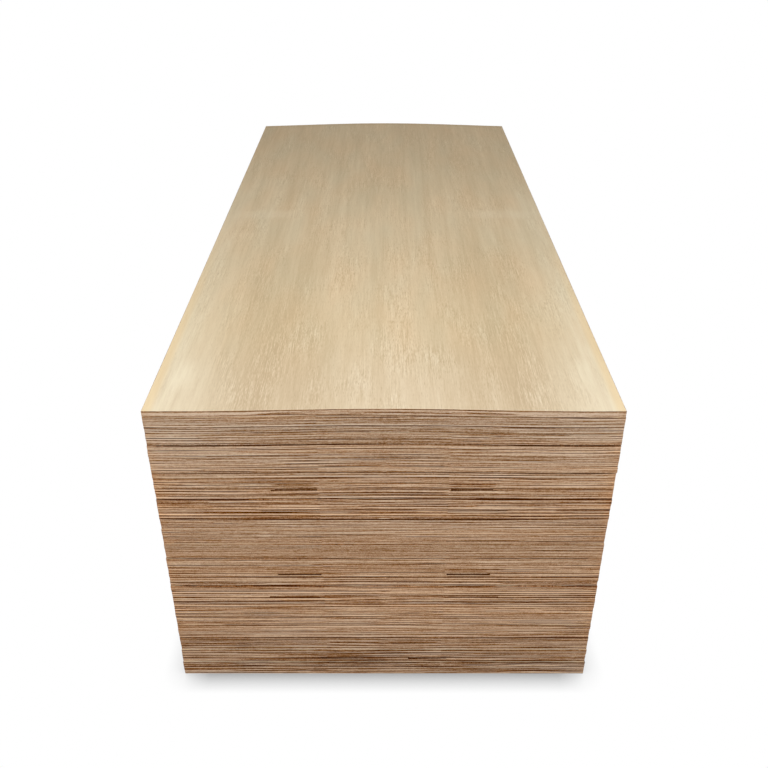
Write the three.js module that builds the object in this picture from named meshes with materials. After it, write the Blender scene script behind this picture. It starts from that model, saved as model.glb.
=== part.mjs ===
// A stack of full plywood sheets, as it lies on a flat floor after it comes off the press line.
//
// Units are millimetres and Z points up. The sheets' length runs along Y, and the origin is on the floor, in
// the middle of the stack. Every sheet is one glued piece and one mesh, named from the floor up.
import * as THREE from "three";

// One sheet, before its batch's trim.
const SHEET_WIDTH = 1220;
const SHEET_LENGTH = 2440;
const SHEET_THICKNESS = 18;

// The edges' colours, from the palest core veneers to the darkest, and the face veneer's colour.
const PALE_EDGE = 0xa6886c;
const TAN_EDGE = 0x9e7e63;
const BROWN_EDGE = 0x92725a;
const DARK_EDGE = 0x886a52;
const FACE_VENEER = 0xd6c09d;
const WOOD_ROUGHNESS = 0.7;

// The batches from the floor up. The sheets of one batch were sawn together, so they share a tone and a trim,
// which is how much wider and longer they are than SHEET_WIDTH and SHEET_LENGTH.
const BATCHES = [
  { sheets: 3, trim: 7.0, edge: DARK_EDGE },
  { sheets: 3, trim: 4.6, edge: DARK_EDGE },
  { sheets: 3, trim: 3.0, edge: BROWN_EDGE },
  { sheets: 8, trim: 3.2, edge: TAN_EDGE },
  { sheets: 4, trim: 3.0, edge: BROWN_EDGE },
  { sheets: 6, trim: 1.8, edge: TAN_EDGE },
  { sheets: 3, trim: 0.8, edge: TAN_EDGE },
  { sheets: 5, trim: -0.2, edge: PALE_EDGE },
  { sheets: 4, trim: 0.6, edge: BROWN_EDGE },
  { sheets: 5, trim: -0.2, edge: TAN_EDGE },
  { sheets: 5, trim: 1.0, edge: PALE_EDGE },
  { sheets: 6, trim: -0.4, edge: PALE_EDGE },
];

// The air between two sheets where they lie closest, inside a batch and between two batches.
const SHEET_GAP = 0.05;
const BATCH_GAP = 0.15;

// How far a sheet may lie out of line with the stack, to either side.
const SLIP_ACROSS = 0.5;
const SLIP_ALONG = 1.2;
const SKEW = THREE.MathUtils.degToRad(0.012);

// The upper sheets are bowed. They are highest along the middle line and lowest along two troughs. At the near
// end the troughs lie inside the long edges, where the sheets rise a little again. Towards the far end the bow
// grows stronger and wider, until its troughs would lie beyond the edges. It fades out going down the stack.
const CROWN_NEAR_END = 8;
const CROWN_FAR_END = 18;
const TROUGH_NEAR_END = 520;
const TROUGH_FAR_END = 830;
const CROWNED_SHEETS = 22;
const STEPS_ACROSS = 12;
const STEPS_ALONG = 2;

const SHEET_COUNT = BATCHES.reduce((total, batch) => total + batch.sheets, 0);

// Spreads whole numbers over -1 to 1, evenly but with no pattern that shows. The steps are the powers of one
// irrational number, so the three scatters have nothing to do with each other.
const ACROSS_STEP = 0.819173;
const ALONG_STEP = ACROSS_STEP ** 2;
const SKEW_STEP = ACROSS_STEP ** 3;

function scatter(number, step) {
  return 2 * ((number * step) % 1) - 1;
}

// The height of the top sheet's bow over its troughs: a cosine across the stack, whose height and width grow
// evenly from the near end to the far one.
function crownHeight(x, y) {
  const halfLength = SHEET_LENGTH / 2;
  const height = THREE.MathUtils.mapLinear(y, -halfLength, halfLength, CROWN_NEAR_END, CROWN_FAR_END);
  const trough = THREE.MathUtils.mapLinear(y, -halfLength, halfLength, TROUGH_NEAR_END, TROUGH_FAR_END);
  return (height * (1 + Math.cos((Math.PI * x) / trough))) / 2;
}

// The share of the top sheet's bow that a sheet takes.
function crownShare(number) {
  const sheetsAbove = SHEET_COUNT - number;
  return Math.max(0, 1 - sheetsAbove / CROWNED_SHEETS);
}

// A box splits the squares of its top and its underside along opposite diagonals. This turns the diagonals of
// the underside, the last of the box's six groups, so that a bowed underside follows the bowed top below it.
function turnUndersideDiagonals(box) {
  const underside = box.groups.at(-1);
  for (let i = underside.start; i < underside.start + underside.count; i += 6) {
    const [a, b, d, , c] = box.index.array.subarray(i, i + 6);
    box.index.set([a, b, c, a, c, d], i);
  }
}

// Raises each vertex by the bow where that vertex lies in the stack, so that a bowed sheet keeps its
// thickness and nests on the sheet below.
function bend(sheet, share) {
  const vertices = sheet.geometry.attributes.position;
  const place = new THREE.Vector3();
  turnUndersideDiagonals(sheet.geometry);
  sheet.updateMatrix();
  for (let i = 0; i < vertices.count; i += 1) {
    place.fromBufferAttribute(vertices, i).applyMatrix4(sheet.matrix);
    vertices.setZ(i, vertices.getZ(i) + share * crownHeight(place.x, place.y));
  }
  sheet.geometry.computeVertexNormals();
}

// One sheet whose underside rests at the given height.
function makeSheet(number, batch, restsAt) {
  const share = crownShare(number);
  const stepsAcross = share > 0 ? STEPS_ACROSS : 1;
  const stepsAlong = share > 0 ? STEPS_ALONG : 1;
  const width = SHEET_WIDTH + batch.trim;
  const length = SHEET_LENGTH + batch.trim;
  const sheet = new THREE.Mesh(
    new THREE.BoxGeometry(width, length, SHEET_THICKNESS, stepsAcross, stepsAlong, 1),
    new THREE.MeshStandardMaterial({
      color: number === SHEET_COUNT ? FACE_VENEER : batch.edge,
      roughness: WOOD_ROUGHNESS,
      metalness: 0,
    }),
  );
  sheet.name = `sheet_${String(number).padStart(2, "0")}`;
  sheet.position.set(
    SLIP_ACROSS * scatter(number, ACROSS_STEP),
    SLIP_ALONG * scatter(number, ALONG_STEP),
    restsAt + SHEET_THICKNESS / 2,
  );
  sheet.rotation.z = SKEW * scatter(number, SKEW_STEP);
  if (share > 0) {
    bend(sheet, share);
  }
  return sheet;
}

const stack = new THREE.Group();
let restsAt = 0;
for (const batch of BATCHES) {
  for (let i = 0; i < batch.sheets; i += 1) {
    const isLastOfBatch = i === batch.sheets - 1;
    stack.add(makeSheet(stack.children.length + 1, batch, restsAt));
    restsAt += SHEET_THICKNESS + (isLastOfBatch ? BATCH_GAP : SHEET_GAP);
  }
}

export default stack;
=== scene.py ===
# %% [markdown]
# # A stack of plywood sheets
# A full lift of plywood as it leaves the press line: 55 sheets, each 1220 x 2440 x 18 mm, lying flat on
# each other. One sheet is nine thin veneers glued crosswise, so its sawn edges show as stripes, and its
# face is one pale, straight-grained veneer. The solid sheets come from the CAD model as a fixed frame. This
# file gives each of them its finish: an edge cut into plies, worn corners, and the two materials that the
# eye reads as wood.

# %% Load the sheets
import math

import bmesh
import bpy
import numpy as np
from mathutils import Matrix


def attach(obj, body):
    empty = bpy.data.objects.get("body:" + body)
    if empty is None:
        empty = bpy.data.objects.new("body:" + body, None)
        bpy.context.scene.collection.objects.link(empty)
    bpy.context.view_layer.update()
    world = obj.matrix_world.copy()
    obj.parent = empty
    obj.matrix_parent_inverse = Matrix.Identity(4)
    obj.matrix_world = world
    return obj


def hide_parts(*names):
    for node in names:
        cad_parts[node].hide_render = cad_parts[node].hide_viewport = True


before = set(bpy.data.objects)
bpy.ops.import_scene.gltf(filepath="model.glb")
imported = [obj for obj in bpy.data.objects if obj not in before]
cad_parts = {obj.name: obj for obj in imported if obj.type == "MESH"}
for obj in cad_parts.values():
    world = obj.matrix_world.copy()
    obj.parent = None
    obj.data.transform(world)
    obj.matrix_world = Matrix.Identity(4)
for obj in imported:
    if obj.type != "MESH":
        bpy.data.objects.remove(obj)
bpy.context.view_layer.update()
MM = 0.001
sheet_names = sorted(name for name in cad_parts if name.startswith("sheet_"))
SHEETS = len(sheet_names)

# %% [markdown]
# ## The camera
# We look along the stack, from above one short end, so that the near end stands square in the frame and the
# long top runs away from us. The verticals lean in towards the floor, because the camera is close and
# tilted down. It could be tilted until the stack sits in the middle of the frame, but that makes them lean
# more. So a little vertical shift of the lens does the rest: it slides the picture and bends nothing. Depth
# of field stays off.

# %% Camera
CAMERA_LENS = 37.78  # mm
SENSOR_WIDTH = 36.0  # mm
CAMERA_PLACE = (0.0, -2.8564, 2.2155)  # metres
CAMERA_DIP = 28.24  # degrees below level
CAMERA_SHIFT = (0.0, -0.1205)  # of the picture's width

camera_data = bpy.data.cameras.new("camera")
camera_data.lens = CAMERA_LENS
camera_data.sensor_width = SENSOR_WIDTH
camera_data.shift_x, camera_data.shift_y = CAMERA_SHIFT
camera = bpy.data.objects.new("camera", camera_data)
camera.location = CAMERA_PLACE
camera.rotation_euler = (math.radians(90 - CAMERA_DIP), 0.0, 0.0)
bpy.context.scene.collection.objects.link(camera)
bpy.context.scene.camera = camera
print("camera at", CAMERA_PLACE)

# %% [markdown]
# ## Small helpers for materials
# Colours are easiest to choose as sRGB hex codes, but Blender computes with linear light, so one function
# turns one into the other. Nodes could be added and wired one line at a time, but one small function does
# it all: it takes a node's own settings as keywords, and its sockets as a dictionary whose values are
# numbers, colours or another node's output.


# %% Colour and node helpers
def linear(hex_code):
    """An sRGB colour such as "#cdb896" as linear RGBA.

    Each part c becomes c / 12.92 below 0.04045, and ((c + 0.055) / 1.055) to the power of 2.4 above."""
    srgb = np.array([int(hex_code[i : i + 2], 16) for i in (1, 3, 5)]) / 255
    rgb = np.where(srgb <= 0.04045, srgb / 12.92, ((srgb + 0.055) / 1.055) ** 2.4)
    return (*rgb.tolist(), 1.0)


def add(tree, kind, sockets=None, **settings):
    """Adds one node to a tree, with its settings, and fills or links its sockets."""
    node = tree.nodes.new(kind)
    for name, value in settings.items():
        setattr(node, name, value)
    for key, value in (sockets or {}).items():
        if isinstance(value, bpy.types.NodeSocket):
            tree.links.new(value, node.inputs[key])
        else:
            node.inputs[key].default_value = value
    return node


def new_material(name):
    """An empty node material and its tree."""
    material = bpy.data.materials.new(name)
    material.use_nodes = True
    material.node_tree.nodes.clear()
    return material, material.node_tree


print("a middle grey in linear light:", linear("#808080"))

# %% [markdown]
# ## Floor and sky
# A studio floor is lit so evenly that it looks like white paper. Strong lamps could do that, but they would
# bleach the wood. So what looks at the floor directly sees its own white, and all other light meets a plain
# pale floor that bounces some of it up. Only the narrow strip beside the lowest sheet is dimmed, where the
# stack keeps the light away, and this dimming is painted shade in that white. The Ambient Occlusion node
# finds it: it tells how free each point of the floor is within a short reach. The painted shade is deepest in
# front of the near end and weaker from the corners on, along the long sides, by how far a point lies off the
# middle line.


# %% Floor and sky
def seen_directly(tree):
    """1 for a ray from the camera, a mirror reflection or through glass, else 0."""
    path = add(tree, "ShaderNodeLightPath")
    seen = path.outputs["Is Camera Ray"]
    for kind in ("Is Glossy Ray", "Is Transmission Ray"):
        seen = add(tree, "ShaderNodeMath", {0: seen, 1: path.outputs[kind]}, operation="MAXIMUM").outputs[0]
    return seen


FLOOR_HALF = 30.0  # metres
FLOOR_DROP = 0.2 * MM  # keeps the floor clear of the underside of the lowest sheet
FLOOR_PALE = linear("#dcdcda")
SHADE_REACH = 70 * MM
SHADE_SAMPLES = 16
BESIDE_WALL = 0.5  # how free the floor is right beside a wall
SHADE_FULL = 0.42  # of the white is left there, in front of the stack
SHADE_SIDES = 0.74  # and beside its long sides
SHADE_TURNS = (535 * MM, 612 * MM)  # off the middle line, where one turns into the other
SKY_LEVEL = 0.32
WHITE = (1.0, 1.0, 1.0, 1.0)

floor_mesh = bpy.data.meshes.new("floor")
corners = [(FLOOR_HALF * x, FLOOR_HALF * y, -FLOOR_DROP) for x, y in ((-1, -1), (1, -1), (1, 1), (-1, 1))]
floor_mesh.from_pydata(corners, [], [(0, 1, 2, 3)])
floor = bpy.data.objects.new("floor", floor_mesh)
bpy.context.scene.collection.objects.link(floor)

floor_material, tree = new_material("painted studio floor")
lit = add(tree, "ShaderNodeBsdfDiffuse", {"Color": FLOOR_PALE})
free = add(tree, "ShaderNodeAmbientOcclusion", {"Distance": SHADE_REACH}, samples=SHADE_SAMPLES)
here = add(tree, "ShaderNodeSeparateXYZ", {0: add(tree, "ShaderNodeTexCoord").outputs["Object"]})
off_middle = add(tree, "ShaderNodeMath", {0: here.outputs["X"]}, operation="ABSOLUTE").outputs[0]
ends = {"From Min": SHADE_TURNS[0], "From Max": SHADE_TURNS[1], "To Min": SHADE_FULL, "To Max": SHADE_SIDES}
deepest = add(tree, "ShaderNodeMapRange", {"Value": off_middle, **ends})
ends = {"From Min": BESIDE_WALL, "From Max": 1.0, "To Min": deepest.outputs[0], "To Max": 1.0}
# painted shade: the white that the camera sees is dimmed where the floor is not free
left = add(tree, "ShaderNodeMapRange", {"Value": free.outputs["AO"], **ends})
white = add(tree, "ShaderNodeEmission", {"Color": left.outputs[0], "Strength": 1.0})
both = add(tree, "ShaderNodeMixShader", {0: seen_directly(tree), 1: lit.outputs[0], 2: white.outputs[0]})
add(tree, "ShaderNodeOutputMaterial", {"Surface": both.outputs[0]})
floor_mesh.materials.append(floor_material)

world = bpy.data.worlds.new("studio")
bpy.context.scene.world = world
world.use_nodes = True
tree = world.node_tree
tree.nodes.clear()
sky = add(tree, "ShaderNodeBackground", {"Color": WHITE, "Strength": SKY_LEVEL})
paper = add(tree, "ShaderNodeBackground", {"Color": WHITE, "Strength": 1.0})
both = add(tree, "ShaderNodeMixShader", {0: seen_directly(tree), 1: sky.outputs[0], 2: paper.outputs[0]})
add(tree, "ShaderNodeOutputWorld", {"Surface": both.outputs[0]})
print("floor", 2 * FLOOR_HALF, "m wide, sky", SKY_LEVEL)

# %% [markdown]
# ## Lamps
# One large softbox hangs above and in front of the near end. It is near enough that the top grows darker
# towards the far end. Four low panels stand round the stack, no higher than its top, so that they light
# only the sawn edges, which are what tells plywood from a plain board. One sun lamp would be simpler, but
# its shadows are hard, and it lights the top evenly from end to end.

# %% Lamps
SOFTBOX_PLACE = (0.0, -2.6, 3.6)
SOFTBOX_AIM = (0.0, -0.9, 0.6)
SOFTBOX_SIZE = 2.0
SOFTBOX_POWER = 90.0  # watts
PANELS = ((0.0, -5.5, 43.0), (5.0, 0.0, 40.0), (-5.0, 0.0, 40.0), (0.0, 5.5, 44.0))  # x, y and watts
PANEL_HEIGHT = 0.5
PANEL_SIZE = 1.0


def softlight(name, place, aim, size, power):
    """A square area lamp at a place, turned so that its light goes towards a point."""
    data = bpy.data.lights.new(name, "AREA")
    data.shape = "SQUARE"
    data.size = size
    data.energy = power
    light = bpy.data.objects.new(name, data)
    light.location = place
    x, y, z = np.array(aim) - np.array(place)
    light.rotation_euler = (math.atan2(math.hypot(x, y), -z), 0.0, math.atan2(-x, y))
    light.visible_camera = False
    bpy.context.scene.collection.objects.link(light)
    return light


lamps = [softlight("softbox", SOFTBOX_PLACE, SOFTBOX_AIM, SOFTBOX_SIZE, SOFTBOX_POWER)]
for number, (x, y, power) in enumerate(PANELS):
    place, aim = (x, y, PANEL_HEIGHT), (0.0, 0.0, PANEL_HEIGHT)
    lamps.append(softlight(f"panel {number}", place, aim, PANEL_SIZE, power))
bpy.context.scene.view_settings.view_transform = "Standard"
print([lamp.name for lamp in lamps])

# %% [markdown]
# ## Where each sheet lies
# The frame gives each sheet as a plain solid. Its size and place could be typed in again, but reading them
# from its four corners keeps both models in step, down to its slight turn. The upper sheets are bowed:
# highest along the middle and lowest along two troughs, which lie inside the long edges at the near end and
# beyond them at the far one. The bow is the same formula as in the solids, so taking it away from a
# corner's height leaves the sheet's own level.

# %% Place and bow of a sheet
BOW_ENDS = (8 * MM, 18 * MM)  # the top sheet's rise at the near and the far end
TROUGH_ENDS = (520 * MM, 830 * MM)  # the troughs' distance from the middle there
BOWED_SHEETS = 22  # counted from the top
HALF_LENGTH = 1220 * MM


def bow(x, y):
    """Height of the top sheet's bow: rise * (1 + cos(pi x / trough)) / 2. Both change evenly along y."""
    along = (y + HALF_LENGTH) / (2 * HALF_LENGTH)
    rise = BOW_ENDS[0] + along * (BOW_ENDS[1] - BOW_ENDS[0])
    trough = TROUGH_ENDS[0] + along * (TROUGH_ENDS[1] - TROUGH_ENDS[0])
    return rise * (1 + np.cos(np.pi * x / trough)) / 2


def place_of(number):
    """A sheet's middle, directions across and along, width, length, underside, thickness and share of bow."""
    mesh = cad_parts[sheet_names[number]].data
    points = np.empty(len(mesh.vertices) * 3, np.float32)
    mesh.vertices.foreach_get("co", points)
    points = points.reshape(-1, 3).astype(float)
    share = max(0.0, 1 - (SHEETS - 1 - number) / BOWED_SHEETS)
    level = points[:, 2] - share * bow(points[:, 0], points[:, 1])
    outer = {
        (right, far): points[np.argmax(right * points[:, 0] + far * points[:, 1]), :2]
        for right in (-1, 1)
        for far in (-1, 1)
    }
    across = (outer[1, -1] - outer[-1, -1] + outer[1, 1] - outer[-1, 1]) / 2
    along = (outer[-1, 1] - outer[-1, -1] + outer[1, 1] - outer[1, -1]) / 2
    return {
        "middle": sum(outer.values()) / 4,
        "across": across / np.linalg.norm(across),
        "along": along / np.linalg.norm(along),
        "width": np.linalg.norm(across),
        "length": np.linalg.norm(along),
        "underside": level.min(),
        "thickness": level.max() - level.min(),
        "share": share,
    }


print("top sheet", place_of(SHEETS - 1))

# %% [markdown]
# ## The rim of a sheet
# A sheet's edge is a band that runs once round it. A cube with a subdivided side would do for a smooth
# board, but not for one whose plies wave and stop. So we cut the band into columns: closer together on the
# two short ends, wider on the long sides, and in pairs wherever something starts or stops abruptly. The
# columns of one side mirror those of the opposite side, so that the halves of the faces meet vertex to
# vertex along the middle line.

# %% Columns round the rim
CORNER_RADIUS = 0.8 * MM
COLUMNS = 57  # on each side, before the pairs
PAIR_APART = 1.2 * MM  # the two columns of a pair
NEAR, RIGHT, FAR, LEFT = range(4)


def columns_along(half, sharp):
    """Positions from -half to half: even ones, and a close pair at plus and minus each sharp one."""
    pairs = [sign * at + off for at in sharp for sign in (-1, 1) for off in (-PAIR_APART / 2, PAIR_APART / 2)]
    pairs = np.array(pairs)
    even = np.linspace(-half, half, COLUMNS)
    if len(pairs):
        even = even[np.abs(even[:, None] - pairs).min(1) > PAIR_APART]
    return np.sort(np.concatenate([even, pairs]))


def rim(width, length, sharp_ends, sharp_sides):
    """The rim's columns, counter-clockwise from the near left corner: place, distance, side, number a side.

    Four straight runs, each followed by one point in the middle of the rounded corner."""
    half_w, half_l = width / 2, length / 2
    across = columns_along(half_w - CORNER_RADIUS, sharp_ends)
    along = columns_along(half_l - CORNER_RADIUS, sharp_sides)
    bend = CORNER_RADIUS * (1 - math.sqrt(0.5))
    runs = [
        np.stack([across, 0 * across - half_l], 1),
        np.stack([0 * along + half_w, along], 1),
        np.stack([across[::-1], 0 * across + half_l], 1),
        np.stack([0 * along - half_w, along[::-1]], 1),
    ]
    corners = [(half_w - bend, bend - half_l), (half_w - bend, half_l - bend)]
    corners += [(bend - half_w, half_l - bend), (bend - half_w, bend - half_l)]
    place = np.vstack([part for run, corner in zip(runs, corners) for part in (run, [corner])])
    side = np.repeat(np.arange(4), [len(run) + 1 for run in runs])
    steps = np.linalg.norm(np.diff(place, axis=0, append=place[:1]), axis=1)
    return place, np.concatenate([[0.0], np.cumsum(steps)]), side, (len(across), len(along))


lowest = place_of(0)
print("columns round the lowest sheet", len(rim(lowest["width"], lowest["length"], [], [])[0]))

# %% [markdown]
# ## Nine veneers
# Eighteen millimetres of this board are nine veneers: two thin faces and seven thicker cores, each turned
# across its neighbours. Knife and press leave them slightly wavy, more so in the oldest sheets at the
# bottom. Waves could be sines, but those look like a machine's. Random heights, joined smoothly, look
# grown. They are drawn from a seeded generator, with one seed for each sheet, so the stack comes out the
# same every time.

# %% Random waves and ply layout
PLIES = 9
FACE_PLY = 0.9 * MM
PLY_WAVE = 0.22 * MM
WAVE_LIMIT = 0.8 * MM
GLUE_WAVES = (0.21, 0.16, 0.05)  # wavelengths in metres: of all plies together, of each, and the short ones
OWN_WAVES = 0.5  # the plies' own waves, as a share of the common one
FACE_WAVES = 0.3  # of the waves is left where a face ply holds the glue line straight
KNOT_SPREAD = 1.2  # makes up for what the blending takes from the spread


def drift(rng, at, wavelength, rows=1):
    """Smooth waves along `at`, spread about 1: random heights a wavelength apart, blended by 3f^2 - 2f^3."""
    where = at / wavelength + rng.random()
    knot = where.astype(int)
    f = where - knot
    blend = f * f * (3 - 2 * f)
    heights = KNOT_SPREAD * rng.normal(size=(rows, knot.max() + 2))
    return heights[:, knot] * (1 - blend) + heights[:, knot + 1] * blend


def core_height(thickness):
    """Height of a core ply: what the two face plies leave, shared by the others."""
    return (thickness - 2 * FACE_PLY) / (PLIES - 2)


def ply_bounds(rng, distance, thickness, waviness):
    """Heights of the ten surfaces between and outside the plies, wavy along the rim except the outer two."""
    flat = np.concatenate([[0.0], FACE_PLY + core_height(thickness) * np.arange(PLIES - 1), [thickness]])
    common, own, short = GLUE_WAVES
    wave = drift(rng, distance, common) + OWN_WAVES * drift(rng, distance, own, PLIES + 1)
    wave = waviness * PLY_WAVE * (wave + OWN_WAVES * drift(rng, distance, short, PLIES + 1))
    wave[[0, -1]] = 0.0
    wave[[1, -2]] *= FACE_WAVES
    return flat[:, None] + wave.clip(-WAVE_LIMIT, WAVE_LIMIT)


level_plies = ply_bounds(np.random.default_rng(0), np.zeros(1), lowest["thickness"], 0.0)
print("faces and glue lines at", (level_plies[:, 0] / MM).round(2).tolist(), "mm")

# %% [markdown]
# ## Tone and warmth
# Tone is how light or dark the wood is, counted in spreads from the middle tone, and warmth is how far it
# leans from grey towards orange. Both add up: the batch the sheet came from, the sheet, the ply, the strip
# of veneer within the ply, and slow waves along the strip. Plies are thinner than the eye resolves from
# afar, and what shows is thin stripes about two plies wide. So each ply is set off against the two plies
# above it and the two below, which makes such stripes likely and slower ones rare. The dark ones are pushed
# further from the middle tone than the pale ones, as thin shadows and resin lines are. Sheets also weather
# from their corners inwards: the contrast is strongest there and the wood warmest, and each batch grows
# paler or darker towards the middle of a side.

# %% Tone of every ply along the rim
BATCH_SHEETS = (3, 3, 3, 8, 4, 6, 3, 5, 4, 5, 5, 6)  # from the floor up, as in the other lists
# Tone at the corners, what the middle of a side adds, warmth, and contrast between plies.
BATCH_TONES = (-0.27, -0.30, -0.85, 0.09, -0.33, -0.08, 0.52, 0.16, -0.80, 0.33, 0.99, 0.90)
BATCH_INWARDS = (-0.30, -1.12, 0.40, 0.38, 0.45, -0.10, -0.45, 0.36, 0.80, -0.05, -0.62, -0.88)
BATCH_WARMTH = (-1.5, -0.8, -1.2, 0.1, 0.5, 0.0, -0.5, -0.7, 0.5, -0.8, -1.4, -2.3)
BATCH_CONTRAST = (1.26, 1.10, 0.82, 0.94, 1.10, 0.75, 0.38, 0.62, 1.15, 0.78, 0.80, 0.64)
CONTRAST_AT_CORNER, CONTRAST_INWARDS = 1.14, -0.24  # the second is added at the middle of a side
DARK_TAIL = 0.17  # times the tone squared: how much darker a dark ply is made
SHEET_SPREAD = 0.18
PLY_SPREAD = 1.86
OWN_SHARE, STRIP_SHARE, WAVE_SHARE = 0.64, 0.40, 0.62  # of a ply's spread
STRIPE_SHARES = (0.95, 0.34, 0.25)  # of a ply itself, of the next ones, and of the ones after those
STRIP_LENGTH = 0.35  # metres
STRIP_RANGE = (0.3, 2.0)  # the shortest and the longest strip, as shares of that
MOST_STRIPS = 60  # more than fit round the rim
WAVE_LENGTH = 0.14  # metres
END_GRAIN = 0.4  # darker than a ply seen along its grain
JOINT_FROM_MIDDLE = 172 * MM  # other strips lie between these two joints on the short ends
SHEET_WARMTH, PLY_WARMTH, WAVE_WARMTH = 0.4, 0.35, 0.3
WARMTH_WAVE_LENGTH = 0.4  # metres
CORNER_WARMTH = (1.3, 1.6, 2.0, 2.2, 2.2, 2.3, 1.3, 2.2, 3.2, 3.8, 2.0, 1.6)  # added at a corner, by batch
CORNER_REACH = 24 * MM  # how far its warmth and its closed grooves reach from a corner

batch_of = np.repeat(np.arange(len(BATCH_SHEETS)), BATCH_SHEETS)


def end_grain_of(side):
    """1 where a ply's grain runs out of the edge, 0 where it runs along: even plies lie along the sheet."""
    even = np.arange(PLIES)[:, None] % 2 == 0
    return np.where(np.isin(side, (NEAR, FAR)), even, ~even).astype(float)


def from_corner(place, side):
    """Each column's distance from the nearer end of its side, and its way from there to the side's middle."""
    along = np.abs(np.where(np.isin(side, (NEAR, FAR)), place[:, 0], place[:, 1]))
    half = np.where(np.isin(side, (NEAR, FAR)), np.abs(place[:, 0]).max(), np.abs(place[:, 1]).max())
    return half - along, 1 - along / half


def striped(raw):
    """Rows r set off against their neighbours: a r[i] - b (r[i-1] + r[i+1]) - c (r[i-2] + r[i+2])."""
    own, beside, beyond = STRIPE_SHARES
    return own * raw[2:-2] - beside * (raw[1:-3] + raw[3:-1]) - beyond * (raw[:-4] + raw[4:])


def tones(rng, number, distance, place, side):
    """Tone and warmth of every ply and column."""
    rows = PLIES + 4
    raw = OWN_SHARE * rng.normal(size=(rows, 1)) + WAVE_SHARE * drift(rng, distance, WAVE_LENGTH, rows)
    pieced = (np.abs(place[:, 0]) < JOINT_FROM_MIDDLE) & np.isin(side, (NEAR, FAR))
    for row in range(rows):
        joints = np.cumsum(STRIP_LENGTH * rng.uniform(*STRIP_RANGE, size=MOST_STRIPS))
        strip = np.searchsorted(joints, distance) + MOST_STRIPS * pieced
        raw[row] += STRIP_SHARE * rng.normal(size=2 * MOST_STRIPS)[strip]
    batch = batch_of[number]
    gap, inwards = from_corner(place, side)
    contrast = PLY_SPREAD * BATCH_CONTRAST[batch] * (CONTRAST_AT_CORNER + CONTRAST_INWARDS * inwards)
    tone = contrast * striped(raw) - END_GRAIN * (end_grain_of(side) - 0.5)
    tone -= DARK_TAIL * np.minimum(tone, 0) ** 2
    tone -= tone.mean(0)
    tone += BATCH_TONES[batch] + BATCH_INWARDS[batch] * inwards + SHEET_SPREAD * rng.normal()
    warmth = BATCH_WARMTH[batch] + SHEET_WARMTH * rng.normal()
    warmth = warmth + PLY_WARMTH * striped(rng.normal(size=(rows, 1)))
    warmth = warmth + WAVE_WARMTH * drift(rng, distance, WARMTH_WAVE_LENGTH)
    return tone, warmth + CORNER_WARMTH[batch] * np.exp(-gap / CORNER_REACH)


print("batch of each sheet", batch_of.tolist())

# %% [markdown]
# ## Seams
# Two sheets meet in a groove between their arrises, the long sharp corners of their edges, which are worn
# off. The groove is darkened by its own shade, and its colour is darkened too: painted shade, with dust,
# which is browner than the wood, and more painted shade on the face ply beside it. A line could be painted
# on alone, but a real groove shows from any side. Inside a batch a seam is faint. Between two batches, which
# were laid down at different times, it is bold. One number for each seam, from the floor up, says how bold,
# and one more how that changes on the way from a corner to the middle of a side. Right at the corners,
# where sheets are knocked square, the groove is partly closed.

# %% Seams
# How bold the seam above each batch is at the corners, and what the middle of a side adds as a share of that.
SEAM_ABOVE_BATCH = (0.4, 0.3, 0.9, 1.1, 1.3, 0.5, 0.25, 1.2, 0.9, 1.5, 2.4, 0.05)
SEAM_INWARDS = (0.0, 0.0, -0.2, -0.2, -0.6, -0.3, 0.0, 0.1, -0.6, -0.5, -0.5, 0.0)
FAINT_SEAM, FAINT_RANGE = 0.05, 0.45  # the faintest seam inside a batch, and how much bolder others can be
SEAM_SEED = 7
seams = FAINT_SEAM + FAINT_RANGE * np.random.default_rng(SEAM_SEED).random(SHEETS + 1) ** 2
seams[np.cumsum(BATCH_SHEETS)] = SEAM_ABOVE_BATCH
seams_inwards = np.zeros(SHEETS + 1)
seams_inwards[np.cumsum(BATCH_SHEETS)] = SEAM_INWARDS
print("boldest seams lie above sheets", np.flatnonzero(seams > 1).tolist())
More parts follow.
